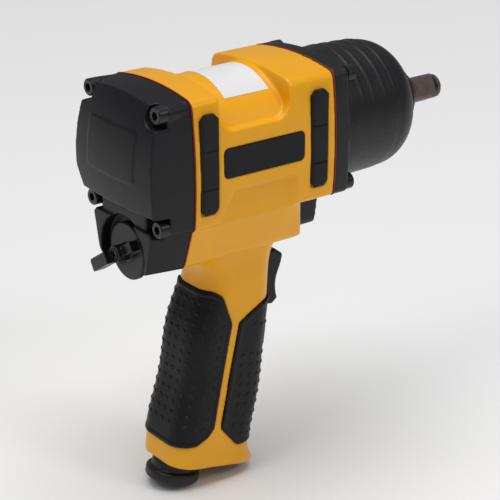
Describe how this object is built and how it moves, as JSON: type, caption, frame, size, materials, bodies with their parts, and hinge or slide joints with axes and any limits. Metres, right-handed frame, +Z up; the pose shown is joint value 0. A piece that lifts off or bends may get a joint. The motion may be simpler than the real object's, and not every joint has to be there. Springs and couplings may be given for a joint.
{
  "type": "impact wrench",
  "caption": "Pneumatic pistol-grip impact wrench with a square drive, twin-hammer mechanism, sprung trigger, rotary direction selector and threaded air inlet in the handle's foot.",
  "frame": {"origin": "centre of the square drive's front end face, on the drive axis", "axes": "+X forward along the drive axis, +Z up with the tool held level, +Y to the operator's left"},
  "size_m": [0.2086, 0.071, 0.2169],
  "materials": {
    "yellow_paint": "semi-gloss powder coat",
    "satin_black_paint": "satin powder coat",
    "textured_black_paint": "fine textured coat",
    "red_gasket": "fibre gasket",
    "black_oxide_steel": "black oxide",
    "satin_black_steel": "satin black",
    "black_rubber": "matt moulded rubber",
    "gloss_black": "gloss",
    "label_white": "coated label stock",
    "grey_iron": "ground",
    "bright_steel": "ground",
    "hardened_steel": "hardened, machined",
    "phenolic_brown": "phenolic laminate",
    "phosphated_steel": "phosphated",
    "bronze": "machined",
    "black_plastic": "moulded",
    "grey_felt": "felt"
  },
  "bodies": {
    "housing": {"motor_housing": "yellow_paint", "rear_cover": "satin_black_paint", "hammer_case": "textured_black_paint", "rear_gasket": "red_gasket", "front_gasket": "red_gasket", "rear_cover_screws": "black_oxide_steel", "hammer_case_screws": "black_oxide_steel", "deflector_screw": "black_oxide_steel", "bumper_rear_right": "black_rubber", "bumper_rear_left": "black_rubber", "bumper_front_right": "black_rubber", "bumper_front_left": "black_rubber", "rear_grip": "black_rubber", "front_grip": "black_rubber", "inlet_seal": "black_rubber", "nameplate_right": "gloss_black", "nameplate_left": "gloss_black", "rating_label": "label_white", "motor_cylinder": "grey_iron", "rear_end_plate": "grey_iron", "front_end_plate": "grey_iron", "rear_bearing_outer_race": "bright_steel", "front_bearing_outer_race": "bright_steel", "cylinder_pin": "bright_steel", "anvil_bushing": "bronze", "trigger_bushing": "bronze", "throttle_valve_seat": "bronze", "throttle_spring": "bright_steel", "inlet_bushing": "satin_black_steel", "inlet_screen": "bright_steel", "exhaust_muffler": "grey_felt", "exhaust_deflector": "black_plastic", "reverse_valve_bushing": "bronze", "detent_ball": "bright_steel", "detent_spring": "bright_steel"},
    "rotor": {"rotor": "hardened_steel", "rotor_vanes": "phenolic_brown", "rear_bearing_inner_race": "bright_steel", "front_bearing_inner_race": "bright_steel", "hammer_cage": "hardened_steel", "hammer_pins": "bright_steel", "front_hammer": "hardened_steel", "rear_hammer": "hardened_steel"},
    "bearing_balls": {"rear_bearing_balls": "bright_steel", "front_bearing_balls": "bright_steel"},
    "anvil": {"anvil": "phosphated_steel", "friction_ring": "black_oxide_steel", "friction_ring_cushion": "black_rubber"},
    "trigger": {"trigger": "black_plastic", "trigger_stem": "bright_steel"},
    "throttle_valve": {"throttle_valve": "bright_steel"},
    "selector": {"reverse_lever": "black_plastic", "lever_screw": "black_oxide_steel", "reverse_valve": "bright_steel"}
  },
  "joints": [
    {"name": "rotor_spin", "type": "hinge", "parent": "housing", "child": "rotor", "pos_m": [-0.1, 0, 0], "axis": [1, 0, 0], "continuous": true},
    {"name": "bearing_orbit", "type": "hinge", "parent": "housing", "child": "bearing_balls", "pos_m": [-0.1, 0, 0], "axis": [1, 0, 0], "continuous": true},
    {"name": "anvil_spin", "type": "hinge", "parent": "housing", "child": "anvil", "pos_m": [0, 0, 0], "axis": [1, 0, 0], "continuous": true},
    {"name": "trigger_press", "type": "slide", "parent": "housing", "child": "trigger", "axis": [-0.9781, 0, 0.2079], "range_m": [0, 0.0045], "stiffness_N_per_m": 1500, "springref_m": -0.004},
    {"name": "throttle_valve_tilt", "type": "hinge", "parent": "housing", "child": "throttle_valve", "pos_m": [-0.15378, 0, -0.10845], "axis": [0, -1, 0], "range_deg": [0, 7.2]},
    {"name": "reverse_lever_turn", "type": "hinge", "parent": "housing", "child": "selector", "pos_m": [-0.19, 0, -0.0474], "axis": [1, 0, 0], "range_deg": [0, 66]}
  ],
  "couplings": [
    {"joint": "bearing_orbit", "follows": "rotor_spin", "ratio": 0.41},
    {"joint": "anvil_spin", "follows": "rotor_spin", "ratio": 1},
    {"joint": "throttle_valve_tilt", "follows": "trigger_press", "rad_per_m": 27.15}
  ]
}
